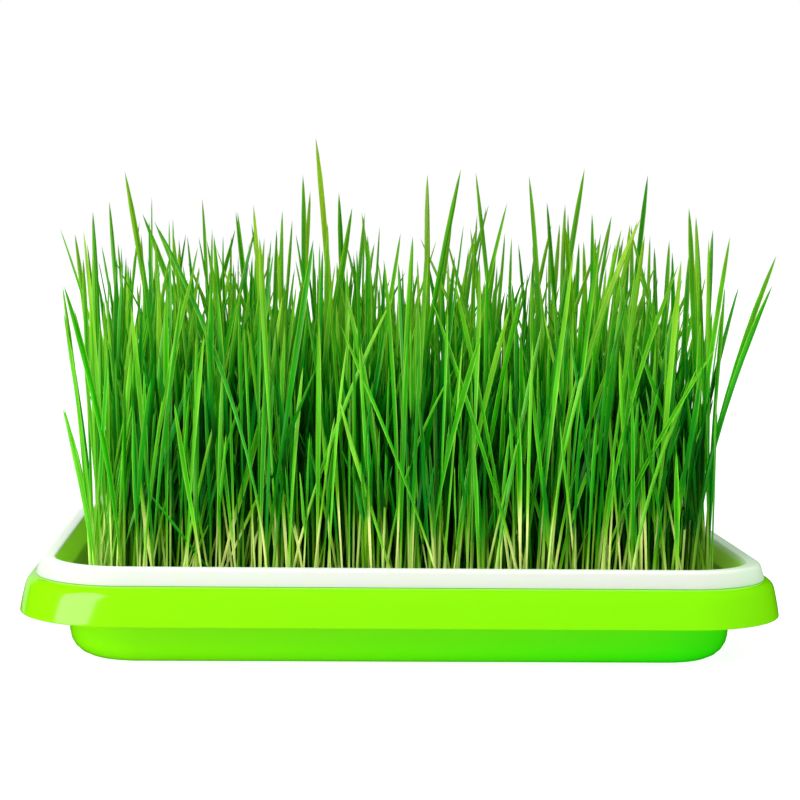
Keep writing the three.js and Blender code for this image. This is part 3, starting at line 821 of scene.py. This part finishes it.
def shaped(form_points, leaves):
    """Every leaf's points: the form's corners carried along the middle line."""
    t, side, face = leaf_places(form_points)
    t = np.broadcast_to(t, (len(leaves), t.shape[1]))
    middle = leaves.middle(t)
    ahead = leaves.middle(np.minimum(t + HALF_STEP, 1 + HALF_STEP))
    along = unit(ahead - leaves.middle(np.maximum(t - HALF_STEP, 0)))
    angle = leaves.turn[:, None] + leaves.twist[:, None] * t
    across = np.stack([np.cos(angle), np.sin(angle), np.zeros_like(angle)], axis=-1)
    across = unit(across - along * np.sum(across * along, axis=-1, keepdims=True))
    out = np.cross(along, across)
    flat = opening(t, leaves)
    stem, width = leaves.stem[:, None], leaves.width[:, None]
    tip = np.clip((1 - t) * leaves.height[:, None] / TIP_LENGTH, 0, 1) ** TIP_POWER
    half = (stem + (width - stem) * flat) * tip / 2
    thick = BLADE_THICK / 2 + (1 - flat) * np.clip(0.8 * half - BLADE_THICK / 2, 0, None)
    lift = leaves.fold[:, None] * half * flat * (np.abs(side) - 0.5)
    points = middle + across * (side * half)[..., None] + out * (lift + face * thick)[..., None]
    return points, middle[..., 2]


def leaf_paint(form_points, leaves, heights):
    """Warmth with painted shade and light in it, paleness near the root, coolness and nearness to a margin,
    for every vertex.
    """
    t, side, _ = leaf_places(form_points)
    # Painted shade: leaves deep in the sward and low down lose warmth and go dark green; painted light: near
    # the left edge, where the light from the left falls, they keep it and gain more.
    low = np.clip((SHADE_HEIGHTS[1] - heights) / (SHADE_HEIGHTS[1] - SHADE_HEIGHTS[0]), 0, 1)
    sunned = leaves.sunned[:, None]
    shade = SHADE * leaves.depth[:, None] * low * (1 - SUNNED_SHADE * sunned)
    warmth = leaves.warmth[:, None] + WARMTH_RISE * (heights - WARMTH_MIDDLE) + TIP_WARMTH * t**6
    warmth = np.clip(warmth + SUNNED_WARMTH * sunned * low, 0, 1)
    warmth = np.clip(LEAST_WARMTH + (1 - LEAST_WARMTH) * warmth - shade, 0, 1)
    pale = np.clip((leaves.pale_top[:, None] - heights) / PALE_FADE, 0, 1)
    # the pale foot fades out in the painted shade
    pale = pale * (1 - np.clip(1.5 * shade, 0, 1)) * np.clip(0.5 + 1.1 * leaves.warmth, 0, 1)[:, None]
    cool = np.broadcast_to(leaves.cool[:, None], heights.shape)
    margin = np.broadcast_to(np.abs(side), heights.shape)
    return np.stack([warmth, pale, cool, margin], axis=-1)


def leaf_looks(rng, count):
    """Fold, sway and colouring, which every leaf draws the same way."""
    return {
        "fold": rng.uniform(0.4, 1.4, count),
        "sway": rng.normal(0, 0.9, count),
        "warmth": rng.beta(1.6, 2.2, count),
        "cool": np.clip(rng.uniform(-2.2, 0.9, count), 0, 1),
        "pale_top": rng.uniform(56, 84, count),
    }


def packed_shoots(node):
    """Foot, two three-cornered sections and tip of each solid shoot of a bunch, in a settled order."""
    bm = bmesh.new()
    bm.from_mesh(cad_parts[node].data)
    bmesh.ops.remove_doubles(bm, verts=bm.verts, dist=1e-6)
    above = {vert for vert in bm.verts if vert.co.z > (STRIP_TOP + 1) * MM}
    shoots = []
    for start in bm.verts:
        if start not in above:
            continue
        above.remove(start)
        found, feet = [start], []
        for vert in found:
            for edge in vert.link_edges:
                other = edge.other_vert(vert)
                if other in above:
                    above.remove(other)
                    found.append(other)
                elif other not in found and other not in feet:
                    feet.append(other)
        points = sorted((Vector(vert.co) / MM for vert in found), key=lambda point: point.z)
        low, high = (sorted(part, key=lambda point: (point.x, point.y)) for part in (points[:3], points[3:6]))
        base = sum((Vector(vert.co) / MM for vert in feet), Vector()) / len(feet)
        shoots.append((base, low, high, points[-1]))
    bm.free()
    return sorted(shoots, key=lambda shoot: (round(shoot[0].x, 2), round(shoot[0].y, 2)))


def width_line(section):
    """Middle, length and direction of a section's longest side, from margin to margin."""
    pairs = ((a, b) for i, a in enumerate(section) for b in section[i + 1 :])
    left, right = max(pairs, key=lambda pair: (pair[0] - pair[1]).length)
    across = right - left
    return (left + right) / 2, across.length, math.atan2(across.y, across.x)


def solid_leaves(rng, row):
    """Leaves along the row's solid shoots, with their bends, widths and turns."""
    rows = []
    for place in BUNCHES:
        for base, low, high, tip in packed_shoots(f"shoots_row_{row + 1:02d}_{place}"):
            lean = Vector((tip.x - base.x, tip.y - base.y))
            middle, width, turn_low = width_line(low)
            _, _, turn_high = width_line(high)
            gone = Vector((middle.x - base.x, middle.y - base.y)).dot(lean) / max(lean.length_squared, 1e-6)
            curve = math.log(min(max(gone, 0.05), 0.9)) / math.log(RING_SHARES[0])
            twist = (turn_high - turn_low + math.pi / 2) % math.pi - math.pi / 2
            twist /= RING_SHARES[1] - RING_SHARES[0]
            rows.append((base.x, base.y, lean.x, lean.y, tip.z - STRIP_TOP, min(max(curve, 1.0), 2.4),
                         SOLID_WIDTH * width, turn_low - twist * RING_SHARES[0], twist))
    x, y, lean_x, lean_y, height, curve, width, turn, twist = np.array(rows).T
    looks = leaf_looks(rng, len(rows))
    looks["sway"] *= STEADY
    return Leaves(
        x=x, y=y, z=np.full(len(x), STRIP_TOP - SINK), lean_x=lean_x, lean_y=lean_y, height=height + SINK,
        curve=curve, stem=rng.uniform(*STEM_WIDTH, len(x)), width=width, turn=turn, twist=twist,
        open=rng.uniform(0.25, 0.45, len(x)), **looks,
    )


def inside_mat(x, y, inset):
    """Which points lie inside the mat's rounded outline, drawn in by an inset."""
    radius = BOWL_CORNER - inset
    past_x = np.maximum(np.abs(x) - (TRAY_HALF[0] - BOWL_CORNER), 0)
    past_y = np.maximum(np.abs(y) - (TRAY_HALF[1] - BOWL_CORNER), 0)
    inside = (np.abs(x) < TRAY_HALF[0] - inset) & (np.abs(y) < TRAY_HALF[1] - inset)
    return inside & ((past_x == 0) | (past_y == 0) | (np.hypot(past_x, past_y) < radius))


def kept_inside(x, y, lean_x, lean_y):
    """Leans turned back where they would carry a tip past the sward's sides, front or back."""
    tip_y = y + lean_y
    left = BULK_LEFT[0] + BULK_LEFT[1] * tip_y
    right = BULK_RIGHT[0] + BULK_RIGHT[1] * tip_y
    past_x = (x + lean_x < left) | (x + lean_x > right)
    lean_x = np.where(past_x, -TURNED_BACK * lean_x, lean_x)
    lean_y = np.where(np.abs(tip_y) > REACH[1] - TURN_MARGIN, -TURNED_BACK * lean_y, lean_y)
    return np.clip(x + lean_x, left, right) - x, lean_y


def filling_leaves(rng, row):
    """More leaves in the row, between the solid shoots."""
    line = np.arange(-TRAY_HALF[0], TRAY_HALF[0], FILL_PITCH)
    x, y = (grid.ravel() for grid in np.meshgrid(line, FILL_LINES))
    x = x + rng.uniform(-0.5, 0.5, len(x)) * FILL_PITCH
    y = y + rng.uniform(-2.1, 2.1, len(x)) + (row - (ROWS - 1) / 2) * ROW_PITCH
    thinned = THINNING * smooth((np.abs(x) - THIN_FROM) / (TRAY_HALF[0] - MAT_INSET - THIN_FROM))
    kept = inside_mat(x, y, MAT_INSET + 2.5) & (rng.random(len(x)) > thinned)
    x, y = x[kept], y[kept]
    count = len(x)
    crest = np.interp(x, *np.transpose(FILL_CREST))
    tip = np.clip(rng.normal(crest, FILL_TIP_SPREAD), *FILL_TIP_RANGE)
    height = tip - STRIP_TOP
    way = rng.uniform(0, 2 * math.pi, count)
    lean = height * (0.03 + 0.19 * rng.random(count) ** 1.5)
    wild = rng.random(count) < WILD_SHARE
    lean = np.where(wild, height * rng.uniform(0.2, 0.5, count), lean)
    lean_x, lean_y = kept_inside(x, y, lean * np.cos(way), lean * np.sin(way))
    return Leaves(
        x=x, y=y, z=np.full(count, STRIP_TOP - SINK - 0.8), lean_x=lean_x, lean_y=lean_y, height=height,
        curve=rng.uniform(1.0, 1.5, count), stem=rng.uniform(*STEM_WIDTH, count),
        width=rng.uniform(1.3, 2.8, count), turn=rng.uniform(0, math.pi, count),
        twist=rng.normal(0, 0.5, count), open=rng.uniform(0.25, 0.5, count), **leaf_looks(rng, count),
    )


def traced_leaf(depth, width, warmth, pixels):
    """A leaf whose foot, lean and curve follow points along it, to a millimetre."""
    x, z = np.round([on_plane(pixel, depth) for pixel in pixels], 1).T
    share = np.clip((z - STRIP_TOP) / (z[0] - STRIP_TOP), 0, 1.2)
    nearest = None
    for curve in CURVES:
        terms = np.stack([np.ones(len(x)), share**curve], axis=1)
        line = np.linalg.lstsq(terms, x, rcond=None)[0]
        miss = np.abs(terms @ line - x).max()
        if nearest is None or miss < nearest - CLOSER:
            nearest, best_curve, (foot, lean) = miss, curve, line
    foot_x, tip_x = round(float(foot)), round(float(foot + lean))
    if not FOOT_RANGE[0] <= foot_x <= FOOT_RANGE[1]:
        foot_x, depth = min(max(foot_x, FOOT_RANGE[0]), FOOT_RANGE[1]), CORNER_FOOT_Y
    return foot_x, depth, tip_x, round(float(z[0])), round(float(best_curve), 1), width, warmth


def crest_leaf(row, pixel, slope, bow, curve, width):
    """A leaf above the sward: the slope under its tip and its bow tell where its foot is."""
    y = (row - (ROWS - 1) / 2) * ROW_PITCH
    tip_x, tip_z = on_plane(pixel, y)
    foot_x = tip_x + slope * (tip_z - STRIP_TOP) / bow
    return round(foot_x), y, round(tip_x), round(tip_z), curve, width, CREST_WARMTH


def outer_leaf(foot_x, foot_y, pixel, depth, curve, width, warmth):
    tip_x, tip_z = on_plane(pixel, depth)
    return foot_x, foot_y, round(tip_x), round(tip_z), curve, width, warmth


def placed_leaves():
    """Foot x and y, tip x and z, curve, width and warmth of the leaves that stand apart."""
    return [
        *(traced_leaf(*leaf) for leaf in TRACED_LEAVES),
        FALLEN_LEAF,
        *(crest_leaf(*leaf) for leaf in CREST_LEAVES),
        *(outer_leaf(*leaf) for leaf in OUTER_LEAVES),
    ]


def lone_leaves(rng, row, places):
    """The leaves that stand apart, those whose feet are nearest to the row."""
    table = np.array(places, float)
    nearest = np.clip(np.round(table[:, 1] / ROW_PITCH + (ROWS - 1) / 2), 0, ROWS - 1)
    x, y, tip_x, tip_z, curve, width, warmth = table[nearest == row].T
    count = len(x)
    looks = leaf_looks(rng, count)
    looks["sway"] *= STEADY
    looks["warmth"] = warmth
    looks["pale_top"] = np.minimum(looks["pale_top"], tip_z / 2)
    return Leaves(
        x=x, y=y, z=np.full(count, STRIP_TOP - SINK), lean_x=tip_x - x, lean_y=rng.normal(0, 3, count),
        height=tip_z - STRIP_TOP + SINK, curve=curve, stem=rng.uniform(*STEM_WIDTH, count), width=width,
        turn=rng.normal(0, 0.35, count), twist=rng.normal(0, 0.4, count),
        open=rng.uniform(0.35, 0.5, count), **looks,
    )


def second_leaves(rng, first):
    """Leaves that part from some of the first ones part way up."""
    chosen = rng.random(len(first)) < SECOND_LEAF_SHARE
    count = int(chosen.sum())
    fork = rng.uniform(0.22, 0.5, count)
    parent = Leaves(**{field: getattr(first, field)[chosen] for field in Leaves.FIELDS})
    start = parent.middle(fork[:, None])[:, 0]
    height = parent.height * (1 - fork) * rng.uniform(0.5, 0.94, count)
    way = rng.uniform(0, 2 * math.pi, count)
    lean = height * rng.uniform(0.08, 0.36, count)
    follow = 0.6 * (1 - fork)
    lean_x, lean_y = kept_inside(
        start[:, 0],
        start[:, 1],
        lean * np.cos(way) + parent.lean_x * follow,
        lean * np.sin(way) + parent.lean_y * follow,
    )
    looks = leaf_looks(rng, count)
    looks["pale_top"] = parent.pale_top - SECOND_LEAF_PALE_DROP
    return Leaves(
        x=start[:, 0], y=start[:, 1], z=start[:, 2], lean_x=lean_x, lean_y=lean_y,
        height=height, curve=rng.uniform(1.0, 1.3, count), stem=np.full(count, 0.4),
        width=rng.uniform(1.2, 2.6, count), turn=rng.uniform(0, math.pi, count),
        twist=rng.normal(0, 0.5, count), open=rng.uniform(0.12, 0.3, count), **looks,
    )


def add_sward(material):
    rng = np.random.default_rng(SWARD_SEED)
    placed = placed_leaves()
    for row in range(ROWS):
        first = Leaves.joined([solid_leaves(rng, row), filling_leaves(rng, row)])
        second = second_leaves(rng, first)
        lone = lone_leaves(rng, row, placed)
        end_rng = np.random.default_rng(row)  # their own draws leave the other leaves as they are
        end = lone_leaves(end_rng, row, END_LEAVES)
        leaves = Leaves.joined([first, second, lone, end])
        mesh, form_points = copied(leaf_form(), len(leaves))
        points, heights = shaped(form_points, leaves)
        set_points(mesh, points)
        set_paint(mesh, leaf_paint(form_points, leaves, heights))
        nodes = [f"shoots_row_{row + 1:02d}_{place}" for place in BUNCHES]
        piece_of(f"wheatgrass_row_{row + 1:02d}", mesh, material, nodes)


# ----------------------------------------------------------------------------------------------------
# Mat of seeds and roots
# ----------------------------------------------------------------------------------------------------


def mat_height(x, y):
    """The mat's hummocky top."""
    height = MAT_TOP
    for closeness, level, rise in HUMMOCKS:
        height += rise * smooth_noise.noise(Vector((x * closeness, y * closeness, level)))
    return height


def add_root_mat(material):
    bm = bmesh.new()
    half_x, half_y = TRAY_HALF[0] - MAT_INSET, TRAY_HALF[1] - MAT_INSET
    bmesh.ops.create_grid(
        bm,
        x_segments=round(2 * half_x / MAT_CELL),
        y_segments=round(2 * half_y / MAT_CELL),
        size=1.0,
        matrix=Matrix.Diagonal((half_x, half_y, 1.0, 1.0)),
    )
    centre = Vector((TRAY_HALF[0] - BOWL_CORNER, TRAY_HALF[1] - BOWL_CORNER))
    radius = BOWL_CORNER - MAT_INSET
    for vert in bm.verts:
        past = Vector((abs(vert.co.x) - centre.x, abs(vert.co.y) - centre.y))
        if past.x > 0 and past.y > 0 and past.length > radius:
            past *= radius / past.length
            vert.co.x = math.copysign(centre.x + past.x, vert.co.x)
            vert.co.y = math.copysign(centre.y + past.y, vert.co.y)
    bmesh.ops.remove_doubles(bm, verts=bm.verts, dist=0.3)
    edge_verts = {vert for edge in bm.edges if edge.is_boundary for vert in edge.verts}
    for vert in bm.verts:
        vert.co.z = mat_height(vert.co.x, vert.co.y) - (MAT_EDGE_DROP if vert in edge_verts else 0)
    rim = [edge for edge in bm.edges if edge.is_boundary]
    wall = bmesh.ops.extrude_edge_only(bm, edges=rim)["geom"]
    low = [item for item in wall if isinstance(item, bmesh.types.BMVert)]
    for vert in low:
        vert.co.z = MAT_BOTTOM
    bmesh.ops.contextual_create(bm, geom=[item for item in wall if isinstance(item, bmesh.types.BMEdge)])
    bmesh.ops.recalc_face_normals(bm, faces=bm.faces)
    for face in bm.faces:
        face.smooth = len(face.verts) == 4
    return finished("root_mat", bm, material, ["seed_mat"])


def scattered(rng, count):
    """Random places on the mat's top."""
    x = rng.uniform(-TRAY_HALF[0], TRAY_HALF[0], 3 * count)
    y = rng.uniform(-TRAY_HALF[1], TRAY_HALF[1], 3 * count)
    kept = np.flatnonzero(inside_mat(x, y, MAT_INSET + 3))[:count]
    places = [(x[i], y[i], mat_height(x[i], y[i])) for i in kept]
    return np.array(places)


def add_grains(rng, material):
    """Swollen wheat grains, half sunk in the mat and lying every way."""
    form = bmesh.new()
    bmesh.ops.create_uvsphere(form, u_segments=8, v_segments=6, radius=1.0)
    for face in form.faces:
        face.smooth = True
    places = scattered(rng, GRAINS)
    mesh, unit_points = copied(form, len(places))
    size = np.array(GRAIN_SIZE) * rng.uniform(0.8, 1.1, (len(places), 1))
    turn = rng.uniform(0, 2 * math.pi, len(places))
    tilt = rng.normal(0, 0.3, len(places))
    body = unit_points[None] * size[:, None]
    crease = np.where(unit_points[:, 2] > 0.5, GRAIN_CREASE * np.cos(unit_points[:, 1] * 6), 0)
    body[..., 2] -= crease[None]
    x = body[..., 0] * np.cos(tilt)[:, None] - body[..., 2] * np.sin(tilt)[:, None]
    z = body[..., 0] * np.sin(tilt)[:, None] + body[..., 2] * np.cos(tilt)[:, None]
    along = x * np.cos(turn)[:, None] - body[..., 1] * np.sin(turn)[:, None]
    across = x * np.sin(turn)[:, None] + body[..., 1] * np.cos(turn)[:, None]
    points = np.stack([along, across, z + GRAIN_LIFT], axis=-1) + places[:, None]
    set_points(mesh, points)
    return piece_of("wheat_grains", mesh, material)


def add_root_threads(rng, material):
    """White roots that loop out of the mat and back into it."""
    places = scattered(rng, ROOT_THREADS)
    form, last_ring = tube_form(3, 8)
    bmesh.ops.contextual_create(form, geom=last_ring)
    bmesh.ops.recalc_face_normals(form, faces=form.faces)
    mesh, unit_points = copied(form, len(places))
    t = unit_points[:, 2][None]
    length = rng.uniform(6, 15, len(places))[:, None]
    turn = rng.uniform(0, 2 * math.pi, len(places))[:, None] + rng.normal(0, 0.9, len(places))[:, None] * t
    rise = rng.uniform(0.8, 3.0, len(places))[:, None]
    x = length * (t - 0.5) * np.cos(turn) + unit_points[:, 0][None] * THREAD_RADIUS
    y = length * (t - 0.5) * np.sin(turn) + unit_points[:, 1][None] * THREAD_RADIUS
    z = rise * np.sin(math.pi * t) - THREAD_SINK + unit_points[:, 0][None] * THREAD_THICK
    set_points(mesh, np.stack([x, y, z], axis=-1) + places[:, None])
    return piece_of("root_threads", mesh, material)


# ----------------------------------------------------------------------------------------------------
# Studio
# ----------------------------------------------------------------------------------------------------


def add_floor(material):
    bm = bmesh.new()
    bmesh.ops.create_grid(bm, x_segments=1, y_segments=1, size=12.0)
    mesh = bpy.data.meshes.new("floor")
    bm.to_mesh(mesh)
    bm.free()
    floor = bpy.data.objects.new("floor", mesh)
    floor.location.z = -0.0002
    floor.visible_glossy = False
    scene.collection.objects.link(floor)
    mesh.materials.append(material)


def add_soft_box(name, bearing, height, roll, distance, size, radiance):
    """A rectangular light that faces the tray; bearings run from the front to the left."""
    bearing, height = math.radians(bearing), math.radians(height)
    level = math.cos(height)
    way = Vector((-math.sin(bearing) * level, -math.cos(bearing) * level, math.sin(height)))
    data = bpy.data.lights.new(name, "AREA")
    data.shape = "RECTANGLE"
    data.size, data.size_y = size
    data.energy = radiance * size[0] * size[1] * math.pi
    light = bpy.data.objects.new(name, data)
    light.location = Vector((0, 0, 0.03)) + distance * way
    facing = way.to_track_quat("Z", "Y") @ Quaternion((0, 0, 1), math.radians(roll))
    light.rotation_euler = facing.to_euler()
    scene.collection.objects.link(light)
    return light


def add_sky():
    """Even white light that casts no reflections."""
    world = bpy.data.worlds.new("studio")
    world.use_nodes = True
    background = world.node_tree.nodes["Background"]
    background.inputs["Color"].default_value = (1.0, 1.0, 1.0, 1.0)
    background.inputs["Strength"].default_value = 1.0
    world.cycles_visibility.glossy = False
    scene.world = world


def add_studio():
    scene.view_settings.view_transform = "Standard"
    add_sky()
    add_soft_box("key", bearing=51, height=14, roll=54, distance=1.3, size=(1.3, 0.67), radiance=4.3)
    top = add_soft_box("top", bearing=20, height=78, roll=0, distance=1.5, size=(1.3, 1.0), radiance=2.6)
    top.visible_glossy = False
    edge = add_soft_box("edge", bearing=150, height=8, roll=0, distance=1.5, size=(1.0, 0.8), radiance=0.6)
    edge.visible_diffuse = False
    edge.visible_camera = False
    add_floor(floor_material())


# ----------------------------------------------------------------------------------------------------
# The whole
# ----------------------------------------------------------------------------------------------------

add_camera()
add_studio()
add_water_tray(green_plastic())
add_mesh_basket(white_plastic())
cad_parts["water"].material_slots[0].material = water_material()
mat_rng = np.random.default_rng(MAT_SEED)
add_root_mat(mat_material())
grain = grain_material()
add_grains(mat_rng, grain)
add_root_threads(mat_rng, thread_material())
add_sward(leaf_material())
